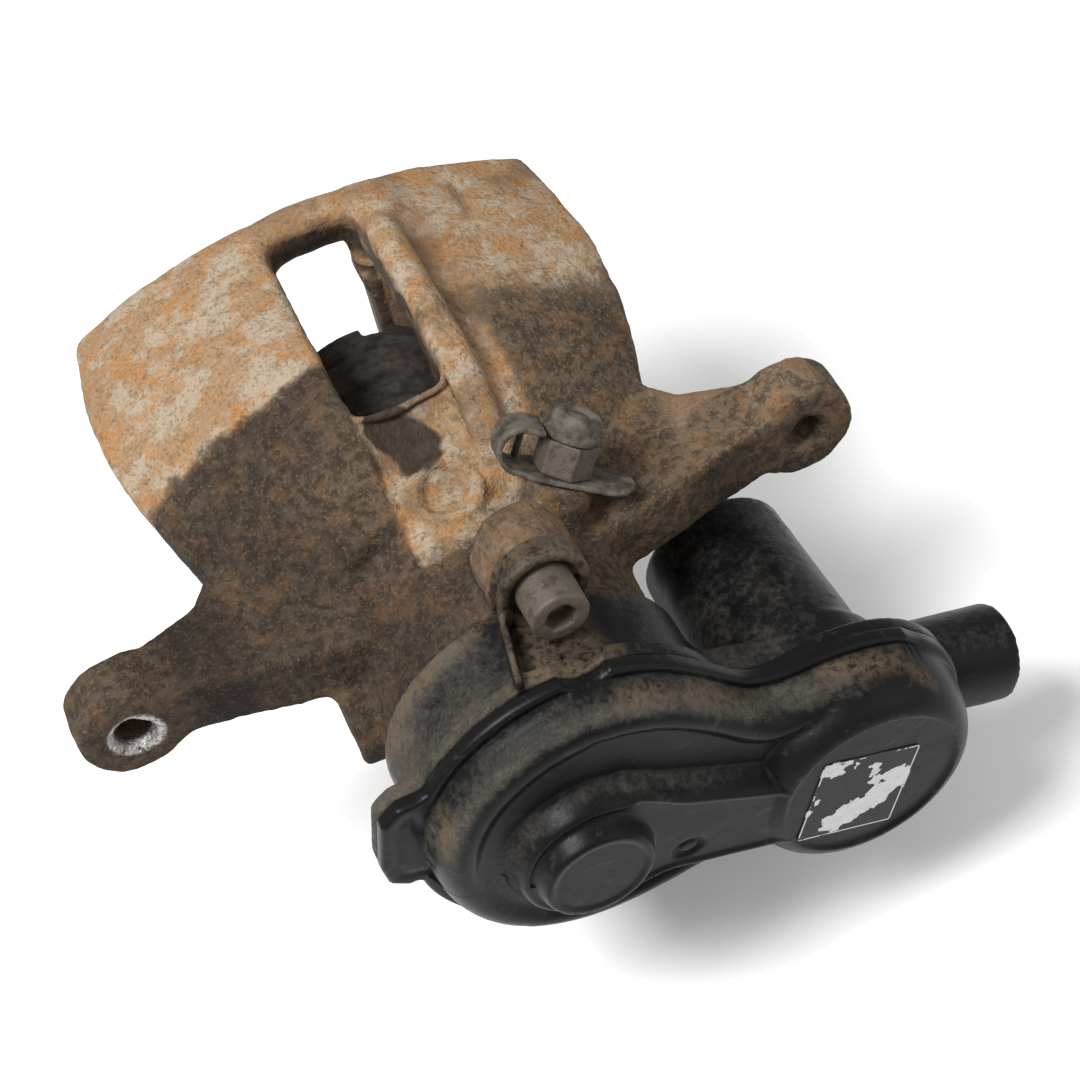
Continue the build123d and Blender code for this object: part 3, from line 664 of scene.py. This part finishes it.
# ---- plastic housing ----------------------------------------------------------------------
def build_housing():
    """The actuator's shell: dusty on the gear pot, cleaner on the motor tube and the socket."""
    passes = max(3, int(7 / (PLASTIC_VOXEL / FINE_PLASTIC) ** 2))
    obj = remeshed_copy("actuator_housing", "actuator_shell", PLASTIC_VOXEL)
    mesh = obj.data
    relax(mesh, passes)
    points = read_points(mesh)
    normals = read_normals(mesh)
    write_points(mesh, points + normals * (0.00006 * fractal(points, 0.004, 2, 3))[:, None])
    x, y, z = (points / MM).T
    up = smoothstep(0.0, 0.8, normals[:, 2])
    mottle = fractal(points, 0.016, 3, 31)
    pot = smoothstep(30, 20, x)
    left = smoothstep(-4, -14, x)
    dust = 0.10 + 0.35 * up * pot + 0.35 * left * pot + 0.25 * mottle * pot
    dust -= 0.25 * bell(np.hypot(x + 22, y + 38), 0, 8)
    dust += (1 - pot) * (0.34 * up + 0.25 * mottle) * smoothstep(-44, -38, y)
    soil = smoothstep(-30, -25, y + 4 * mottle) * pot
    soil += 0.6 * smoothstep(-0.1, 0.5, mottle) * up * pot
    around_screw = smoothstep(14, 9, np.hypot(x - SCREW_X, z - SCREW_Z)) * (y < -28)
    store(mesh, "dust", np.clip(dust, 0, 1))
    store(mesh, "soil", np.clip(0.75 * soil + 0.5 * around_screw, 0, 0.9))
    stand_in(obj, "actuator_housing")


# ---- plastic cover ------------------------------------------------------------------------
LEAN = math.atan2(AXIS_Z - LOBE_Z, LOBE_X)
ALONG = np.array((math.cos(LEAN), -math.sin(LEAN)))
ACROSS = np.array((math.sin(LEAN), math.cos(LEAN)))
REACH = math.hypot(LOBE_X, AXIS_Z - LOBE_Z)
GEAR_END_R, MOTOR_END_R = 36, 28  # the two lobes of the outline
SHOULDER_R, HUMP_R = 33.5, 26.5   # feet of the rounded face on those lobes
SHOULDER_RISE, HUMP_RISE = 8.9, 13.8
LABEL_SEAT = 62.0                 # the hump's flat top, under the label
RING_X, RING_Z = -3.3, -17.0      # middle of the raised ring on the gear end
BUTTON_X, BUTTON_Z = -4.4, -17.0
TAB = ((-30, 7), (-35.5, 7), (-39.5, 4), (-42.5, -9), (-42, -14), (-38.5, -17), (-30, -17))


def joined(a, b, corner):
    """Two distances as one, with a fillet of that radius where their outlines meet."""
    near = np.maximum(corner, np.minimum(a, b))
    return near - np.hypot(np.maximum(corner - a, 0), np.maximum(corner - b, 0))


def higher(a, b, soft=1.0):
    """The greater of two heights, with a softened corner where they meet."""
    near = np.maximum(soft - np.abs(a - b), 0) / soft
    return np.maximum(a, b) + near * near * soft / 4


def dome(share):
    """Quarter-round rise from 0 to 1."""
    return np.sqrt(1 - (1 - np.clip(share, 0, 1)) ** 2)


def lean_axes(x, z):
    """Distances along and across the cover's middle line."""
    return x * ALONG[0] + (z - AXIS_Z) * ALONG[1], x * ACROSS[0] + (z - AXIS_Z) * ACROSS[1]


def lobes(x, z, big, motor, half, corner):
    """Distance from the two-lobed outline, negative inside."""
    along, across = lean_axes(x, z)
    band = np.maximum(np.abs(across) - half, np.maximum(-along, along - REACH))
    ends = np.hypot(x - LOBE_X, z - LOBE_Z) - motor
    return joined(joined(np.hypot(x, z - AXIS_Z) - big, band, corner), ends, corner)


def tab(x, z):
    """Distance from the tab beside the gear end, negative inside."""
    reach = np.full(np.shape(x), -1e9)
    for (x0, z0), (x1, z1) in zip(TAB, TAB[1:] + TAB[:1]):
        length = math.hypot(x1 - x0, z1 - z0)
        reach = np.maximum(reach, ((x - x0) * (z1 - z0) - (z - z0) * (x1 - x0)) / length)
    return reach


def flange(x, z):
    """Distance from the cover's outline, with the tab and the two screw notches."""
    outline = joined(lobes(x, z, GEAR_END_R, MOTOR_END_R, 21, 12), tab(x, z), 1.5)
    for sign in (1, -1):
        screw_z = AXIS_Z + sign * (SCREW_Z - AXIS_Z)
        outline = np.maximum(outline, SCREW_WAY_R - np.hypot(x - sign * SCREW_X, z - screw_z))
    return outline


def ring_and_band(x, z):
    """Distance inside the foot of the raised ring and the band that leaves it, positive inside."""
    along, across = lean_axes(x, z)
    top = 13.9 - 0.19 * along
    band = np.maximum(np.maximum(across - top, -16 - across), np.maximum(2 - along, along - REACH))
    return -joined(np.hypot(x - RING_X, z - RING_Z) - 18.3, band, 3.0)


def cover_front(x, z):
    """How far the cover's face stands in front of the origin."""
    along, across = lean_axes(x, z)
    band = np.maximum(np.abs(across) - 19, np.maximum(-along, along - REACH))
    from_motor = np.hypot(x - LOBE_X, z - LOBE_Z)
    foot = -joined(joined(np.hypot(x, z - AXIS_Z) - SHOULDER_R, band, 12), from_motor - HUMP_R, 9)
    shoulder = LIP + SHOULDER_RISE * dome(foot / 5.2) - 1.3 * smoothstep(5.6, 9.0, foot)
    foot = HUMP_R - from_motor
    hump = LIP + HUMP_RISE * dome(foot / 6.8) - 0.8 * smoothstep(6.6, 7.4, foot)
    face = higher(shoulder, hump)

    # Raised ring with its band towards the motor, cut off flat where the label sits.
    inset = ring_and_band(x, z)
    raised = 56.2 + 6.1 * smoothstep(-0.4, 3.2, inset) - 0.6 * smoothstep(3.4, 4.6, inset)
    face = higher(face, raised + 8 * np.minimum(inset + 0.4, 0))
    face = np.minimum(face, LABEL_SEAT + 3 * smoothstep(19.0, 21.0, from_motor))

    # Button on the ring, a small oval ring beside it, and the line round the flange.
    button = np.hypot(x - BUTTON_X, z - BUTTON_Z)
    face = higher(face, 61.0 + 5.0 * smoothstep(13.6, 11.0, button) - 8 * np.maximum(button - 13.6, 0))
    face = face - 0.45 * smoothstep(10.3, 9.3, button)
    oval = np.hypot((x - 15.0) / 2.9, (z + 28.2) / 2.0)
    face = face - 0.7 * bell(oval, 1.0, 0.28) - 0.25 * (oval < 1)
    edge = -flange(x, z)
    face = face - 0.35 * bell(edge, 3.2, 0.9) * (face < LIP + 1)
    return face - 0.9 * (1 - dome(edge / 0.9))


def spokes(spacing):
    """Starts and directions of lines from the cover's middle line to its outline."""
    gear_end = np.arange(0, 1, spacing / (math.pi * GEAR_END_R))
    motor_end = np.arange(0, 1, spacing / (math.pi * MOTOR_END_R))
    side = np.arange(0, 1, spacing / REACH)
    # Each stretch: its shares, where it starts, which way it runs, first direction and sweep.
    stretches = ((gear_end, 0, 0, 90, 180), (side, 0, 1, 270, 0),
                 (motor_end, REACH, 0, 270, 180), (side, REACH, -1, 90, 0))
    starts, turns = [], []
    for share, start, way, turn, sweep in stretches:
        starts.append(start + way * REACH * share)
        turns.append(np.radians(turn + sweep * share))
    starts = np.concatenate(starts)
    turns = np.concatenate(turns)
    middle = np.outer(starts, ALONG) + np.array((0, AXIS_Z))
    direction = np.outer(np.cos(turns), ALONG) + np.outer(np.sin(turns), ACROSS)
    return middle, direction


def outline_along(middle, direction, distance):
    """Length of each spoke to the outline, where the distance function turns positive."""
    low = np.zeros(len(middle))
    high = np.full(len(middle), 60.0)
    for step in np.arange(1, 60, 0.5):
        at = middle + direction * step
        outside = distance(at[:, 0], at[:, 1]) > 0
        high = np.where(outside & (high == 60.0), step, high)
        low = np.where(high == 60.0, step, low)
    for _ in range(22):
        half = (low + high) / 2
        at = middle + direction * half[:, None]
        outside = distance(at[:, 0], at[:, 1]) > 0
        high = np.where(outside, half, high)
        low = np.where(outside, low, half)
    return low


def cavity(x, z):
    """Distance from the outline of the hollow behind the cover's face."""
    return lobes(x, z, 31, 23.5, 16.5, 10)


def cover_mesh():
    """Front face, edge, joint face and hollow of the cover, as rings of points round it."""
    middle, direction = spokes(COVER_SPACING)
    rim = outline_along(middle, direction, flange)
    inner = outline_along(middle, direction, cavity)
    rows = []

    def add(length, height):
        at = middle + direction * length[:, None]
        level = height(at[:, 0], at[:, 1]) if callable(height) else np.full(len(at), height)
        rows.append(np.column_stack((at[:, 0], -level, at[:, 1])))

    count = int(36 / COVER_SPACING)
    for share in np.linspace(0, 1, count):
        add(rim * share, cover_front)
    for level in (47.6, 46.9, 46.3):
        add(rim, level)
    add(rim - 0.35, FLANGE_BACK)
    add(inner, FLANGE_BACK)
    for level in (48, 50, 52, 54):
        add(inner, float(level))
    for share in np.linspace(1, 0, count // 3):
        add(inner * share, lambda x, z: np.minimum(56.8, cover_front(x, z) - 1.05))

    columns = len(middle)
    points = np.concatenate(rows) * MM
    faces = []
    for row in range(len(rows) - 1):
        for column in range(columns):
            a = row * columns + column
            b = row * columns + (column + 1) % columns
            faces.append((a, a + columns, b + columns, b))
    mesh = mesh_from("cover_shell", points, faces)
    weld(mesh)
    return mesh


def build_cover():
    """The cover with its shape and the dust that lies in its corners."""
    mesh = cover_mesh()
    obj = new_object("cover_shell", mesh)

    points = read_points(mesh)
    normals = read_normals(mesh)
    write_points(mesh, points + normals * (0.00005 * fractal(points, 0.006, 2, 3))[:, None])
    x, y, z = (points / MM).T
    along, across = lean_axes(x, z)
    mottle = fractal(points, 0.014, 3, 31)
    upper = smoothstep(-8, 14, across + 0.25 * np.maximum(-along, 0))
    edge = -lobes(x, z, GEAR_END_R, MOTOR_END_R, 21, 12)
    slope = bell(edge, 4.4, 1.7) * smoothstep(62, 40, along)
    wall = bell(ring_and_band(x, z), 0.9, 1.5) * smoothstep(46, 20, along)
    rim_line = bell(np.hypot(x - BUTTON_X, z - BUTTON_Z), 12.2, 0.9)
    hump_line = bell(np.hypot(x - LOBE_X, z - LOBE_Z), 20.3, 0.8)
    dust = 0.06 + slope * (0.28 + 0.42 * upper) + 0.50 * wall + 0.20 * rim_line + 0.28 * hump_line
    dust += 0.14 * mottle + 0.15 * bell(edge, 2.0, 1.5) * upper
    dust *= smoothstep(-45.0, -48.5, y) * 0.8 + 0.2
    store(mesh, "dust", np.clip(dust, 0, 1))
    store(mesh, "soil", np.clip(0.8 * bell(edge, 3.4, 0.8) * smoothstep(-0.1, 0.6, mottle), 0, 1))
    stand_in(obj, "actuator_cover")


# ---- label --------------------------------------------------------------------------------
LABEL_HALF = (11.5, 12.0)
LABEL_CORNER = 1.6
# Islands of film: both ends of a line on the label, and the half width round it.
FILM_LEFT = (((-3.5, -7.5), (3, -3), 3.0), ((3, -3), (10.5, 1.5), 3.0), ((0.8, 10), (3.0, 3.5), 1.2),
             ((-9.5, 9.6), (-4.0, 10.4), 1.4), ((-10.4, -2), (-10.0, 2), 0.8), ((4, 3), (8, 4.5), 1.0))


def to_segment(u, v, start, end):
    """Distance of each point from a line segment."""
    du, dv = end[0] - start[0], end[1] - start[1]
    share = np.clip(((u - start[0]) * du + (v - start[1]) * dv) / (du * du + dv * dv), 0, 1)
    return np.hypot(u - start[0] - share * du, v - start[1] - share * dv)


def label_outline(u, v):
    """The same square grid with its four corners drawn in to a round."""
    over_u = np.maximum(np.abs(u) - LABEL_HALF[0] + LABEL_CORNER, 0)
    over_v = np.maximum(np.abs(v) - LABEL_HALF[1] + LABEL_CORNER, 0)
    pull = LABEL_CORNER / np.maximum(np.hypot(over_u, over_v), LABEL_CORNER)
    return (np.sign(u) * (np.abs(u) - over_u * (1 - pull)),
            np.sign(v) * (np.abs(v) - over_v * (1 - pull)))


def film_left(u, v):
    """Where the white film is left, 0..1: ragged islands and a thin border."""
    flat = np.column_stack((u, v, np.zeros(len(u))))
    ragged = 1.7 * fractal(flat, 5.0, 5, 41) + 0.9 * fractal(flat, 1.4, 3, 47)
    film = np.zeros(len(u))
    for start, end, width in FILM_LEFT:
        film = np.maximum(film, smoothstep(0.25, -0.25, to_segment(u, v, start, end) - width + ragged))
    edge = np.minimum(LABEL_HALF[0] - np.abs(u), LABEL_HALF[1] - np.abs(v))
    border = smoothstep(0.15, 0.25, edge) * smoothstep(0.65, 0.5, edge) * (ragged < 0.9)
    return np.maximum(film, border)


def build_label():
    """A thin sticker on the motor end, its film standing a little above its backing."""
    lo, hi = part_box("cover_label")
    centre = ((lo + hi) / 2) / MM
    count = 150
    u, v = np.meshgrid(np.linspace(-LABEL_HALF[0], LABEL_HALF[0], count),
                       np.linspace(-LABEL_HALF[1], LABEL_HALF[1], count))
    u, v = u.ravel(), v.ravel()
    u, v = label_outline(u, v)
    film = film_left(u, v)
    x = centre.x + u * ALONG[0] + v * ACROSS[0]
    z = centre.z + u * ALONG[1] + v * ACROSS[1]
    front = LABEL_FRONT - 0.10 + 0.09 * film
    back = np.full(len(x), LABEL_FRONT - 0.3)
    layers = [np.column_stack((x, -front, z)), np.column_stack((x, -back, z))]
    faces = []
    for row in range(count - 1):
        for column in range(count - 1):
            a = row * count + column
            faces.append((a, a + 1, a + count + 1, a + count))
            b = a + count * count
            faces.append((b, b + count, b + count + 1, b + 1))
    loop = list(range(count))
    loop += [row * count + count - 1 for row in range(1, count)]
    loop += [(count - 1) * count + column for column in range(count - 2, -1, -1)]
    loop += [row * count for row in range(count - 2, 0, -1)]
    for here, after in zip(loop, loop[1:] + loop[:1]):
        faces.append((after, here, here + count * count, after + count * count))
    mesh = mesh_from("label", np.concatenate(layers) * MM, faces)
    store(mesh, "film", np.concatenate((film, film)))
    stand_in(new_object("label", mesh), "cover_label")


# ---- small parts on the casting -----------------------------------------------------------
def lathe(name, profile, place, count=72):
    """A turned part: (radius, distance) pairs swept round the local Z of a placement."""
    points, faces = [], []
    for radius, distance in profile:
        for step in range(count):
            angle = 2 * math.pi * step / count
            local = Vector((radius * math.cos(angle), radius * math.sin(angle), distance))
            points.append((place @ local) * MM)
    rings = len(profile)
    for ring in range(rings):
        for step in range(count):
            a = ring * count + step
            b = ring * count + (step + 1) % count
            c = (ring + 1) % rings * count
            faces.append((a, b, c + (step + 1) % count, c + step))
    mesh = mesh_from(name, points, faces)
    weld(mesh)
    return new_object(name, mesh)


def rounded(profile, steps=2):
    """Cuts each corner of a closed profile, again and again, into a round."""
    for _ in range(steps):
        cut = []
        for (r0, d0), (r1, d1) in zip(profile, profile[1:] + profile[:1]):
            cut.append((0.8 * r0 + 0.2 * r1, 0.8 * d0 + 0.2 * d1))
            cut.append((0.2 * r0 + 0.8 * r1, 0.2 * d0 + 0.8 * d1))
        profile = cut
    return profile


def bleed_frame():
    """Placement of the bleed screw: local Z is its axis, from the boss face."""
    turn = Matrix.Rotation(BLEED_SWING, 4, "Z") @ Matrix.Rotation(BLEED_LEAN, 4, "Y")
    return Matrix.Translation(BLEED_AT) @ turn


def build_bleed_cap():
    """Rubber cap over the screw's tip: a skirt with a rolled foot, and a dished top."""
    foot, top = CAP_FOOT, CAP_TOP
    wall = [(2.4, top - 1.4), (2.4, top - 0.8), (3.4, top), (4.5, top), (5.4, top - 1.3),
            (5.2, foot + 2.0), (6.2, foot + 1.3), (6.3, foot + 0.2), (5.9, foot), (3.5, foot),
            (3.5, top - 1.4)]
    obj = lathe("cap", rounded(wall), bleed_frame())
    plug = [(0.0, top - 1.3), (2.6, top - 1.3), (2.6, top - 0.8), (0.0, top - 0.8)]
    cap_top = lathe("cap_top", plug, bleed_frame())
    join_into(obj, cap_top)
    stand_in(obj, "bleed_cap")


def strap_bar(place):
    """Thin cross-bar inside the strap's loop."""
    corners = [(t, w, a) for t in (-10.3, -9.3) for w in (1.2, 2.6) for a in (2.0, 9.0)]
    sides = [(0, 1, 3, 2), (4, 6, 7, 5), (0, 4, 5, 1), (2, 3, 7, 6), (0, 2, 6, 4), (1, 5, 7, 3)]
    points = [place @ Vector(corner) * MM for corner in corners]
    return new_object("strap_bar", mesh_from("strap_bar", points, sides))


def build_strap():
    """The loop of rubber strap, bent a little at its end, with a thin bar across the loop."""
    obj = softened("cap_strap", "strap", 0.28, 6, 0.06)
    mesh = obj.data
    place = bleed_frame() @ Matrix.Rotation(STRAP_TURN, 4, "Z")
    back = np.array(place.inverted())
    points = read_points(mesh) / MM
    local = points @ back[:3, :3].T + back[:3, 3]
    tip = np.maximum(local[:, 0] - 7.0, 0)
    local[:, 2] += 0.012 * tip ** 2
    local[:, 1] *= 1.0 + 0.18 * smoothstep(-16, -7, local[:, 0])
    out = np.array(place)
    write_points(mesh, (local @ out[:3, :3].T + out[:3, 3]) * MM)
    join_into(obj, strap_bar(place))
    smooth_faces(obj)
    mesh.materials.append(MATERIALS["rubber_grey"])
    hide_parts("cap_strap")
    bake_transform(obj)


def build_piston():
    """The piston cup, a little under size so that it runs clear in its bore."""
    obj = softened("piston", "piston_cup", 0.45, 2)
    points = read_points(obj.data)
    middle = np.array((0, 0, AXIS_Z * MM))
    shrink = 1 - PISTON_UNDER / BORE_R
    under = np.array((shrink, 1, shrink))
    write_points(obj.data, middle + (points - middle) * under)
    stand_in(obj, "piston")


def build_boot():
    """Rubber bellows from the cylinder mouth to the piston, with folds along them and a larger roll by
    the piston.
    """
    lo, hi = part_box("dust_boot")
    near, far = lo.y / MM, hi.y / MM
    start, roll = near + 3.2, far - 14.0
    outer, inner = [], []
    for share in np.linspace(0, 1, 120):
        distance = start + (far - near - 5.4) * share
        wave = 0.5 - 0.5 * math.cos(2 * math.pi * BOOT_FOLDS * (distance - start) / (roll - start))
        on_roll = min(1.0, max(0.0, (distance - roll) / 1.5))
        ends = min(1.0, 6 * share, 12 * (1 - share))
        radius = 22.55 + ends * (0.7 * wave * (1 - on_roll) + 1.75 * on_roll)
        outer.append((radius, distance))
        inner.append((radius - 0.45, distance))
    bead = [(25.4, near), (25.4, near + 2.9), (23.2, near + 3.0)]
    lip = [(23.3, far - 2.0), (23.4, far - 0.2), (22.6, far), (20.6, far - 0.1), (20.6, far - 2.1)]
    back = [(22.7, near)]
    profile = bead + outer + lip + inner[::-1] + back
    place = Matrix.Translation((0, 0, AXIS_Z)) @ Matrix.Rotation(math.radians(-90), 4, "X")
    obj = lathe("bellows", profile, place, 144)
    smooth_faces(obj)
    obj.data.materials.append(MATERIALS["rubber_black"])
    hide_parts("dust_boot")
    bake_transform(obj)


# ---- stage --------------------------------------------------------------------------------
def build_stage():
    """A wide pale floor, a little below the object."""
    low = cad_box[0][2] - 0.03
    size = 4.0
    corners = [(-size, -size, low), (size, -size, low), (size, size, low), (-size, size, low)]
    floor = new_object("floor", mesh_from("floor", corners, [(0, 1, 2, 3)]))
    s = Shader("pale_floor")
    tone = s.noise(0.5, 2, 0.4)
    floor.data.materials.append(s.finish(s.mix(tone, (0.94, 0.94, 0.94), (0.96, 0.96, 0.96)), 0.9))


def area_light(name, place, size, watts):
    """A soft square light that faces the origin."""
    light = bpy.data.lights.new(name, "AREA")
    light.size = size
    light.energy = watts
    obj = bpy.data.objects.new(name, light)
    bpy.context.scene.collection.objects.link(obj)
    obj.location = place
    obj.rotation_euler = (-Vector(place)).to_track_quat("-Z", "Y").to_euler()


def build_lights():
    """White surroundings with a key light from the left and a faint fill from the right."""
    world = bpy.data.worlds.new("studio")
    world.use_nodes = True
    background = world.node_tree.nodes["Background"]
    background.inputs["Color"].default_value = (1, 1, 1, 1)
    background.inputs["Strength"].default_value = 0.50
    bpy.context.scene.world = world
    area_light("key", (-0.45, -0.15, 0.85), 0.35, 13)
    area_light("fill", (0.7, -0.5, 0.5), 0.8, 2)
    bpy.context.scene.view_settings.view_transform = "Standard"


def build_camera():
    """A camera at the photographer's place, turned as theirs was."""
    camera = bpy.data.objects.new("camera", bpy.data.cameras.new("camera"))
    bpy.context.scene.collection.objects.link(camera)
    back = -CAMERA_LOOKS.normalized()
    right = CAMERA_RIGHT.normalized()
    up = back.cross(right).normalized()
    turn = Matrix((right, up, back)).transposed().to_4x4()
    camera.matrix_world = Matrix.Translation(CAMERA_AT) @ turn
    camera.data.angle = CAMERA_ANGLE
    camera.data.clip_start = 0.01
    bpy.context.scene.camera = camera


finish_cad_nodes()
build_casting()
build_housing()
build_cover()
build_label()
build_bleed_cap()
build_strap()
build_boot()
stand_in(softened("bleed_screw", "bleed_nipple", 0.22, 3, 0.05), "bleed_screw")
stand_in(softened("actuator_screws", "cap_screws", 0.28, 4, 0.07), "actuator_screws")
build_piston()
build_stage()
build_lights()
build_camera()
